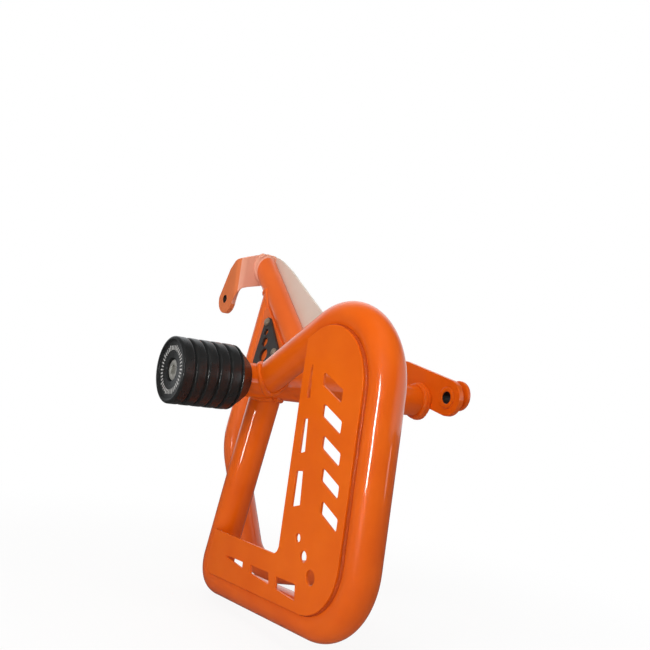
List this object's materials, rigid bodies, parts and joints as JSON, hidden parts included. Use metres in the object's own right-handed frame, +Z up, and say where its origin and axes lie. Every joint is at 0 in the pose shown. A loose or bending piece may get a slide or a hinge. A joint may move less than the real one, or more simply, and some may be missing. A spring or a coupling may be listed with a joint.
{
  "type": "motorcycle crash bar",
  "caption": "Bent tube guard with a cut sheet panel, a round nylon slider, a bracket hook and a lug, for one side of a motorcycle.",
  "frame": {"origin": "where the cross tube's axis meets the plane of the tube loop; world metres throughout", "axes": "+Y along the cross tube, inboard; +X across the loop from the slider to its long upright; +Z up"},
  "size_m": [0.3525, 0.26, 0.3005],
  "materials": {
    "orange_coat": "gloss powder coat",
    "black_coat": "satin",
    "nylon": "satin turned nylon",
    "steel": "zinc plated"
  },
  "bodies": {
    "root": {"cross_tube": "orange_coat", "slider_boss": "steel", "loop_tube": "orange_coat", "loop_plate": "orange_coat", "slider_body": "nylon", "slider_washer": "steel", "slider_bolt": "steel", "rear_main_tube": "orange_coat", "rear_side_tube": "orange_coat", "backing_sheet": "orange_coat", "cover_plate": "black_coat", "cover_bolt_upper": "steel", "cover_bolt_lower": "steel", "gusset_plate": "orange_coat", "hook_bracket": "orange_coat", "lug_plate": "orange_coat", "lug_bush": "orange_coat", "lug_rear_ring": "orange_coat"}
  },
  "joints": []
}
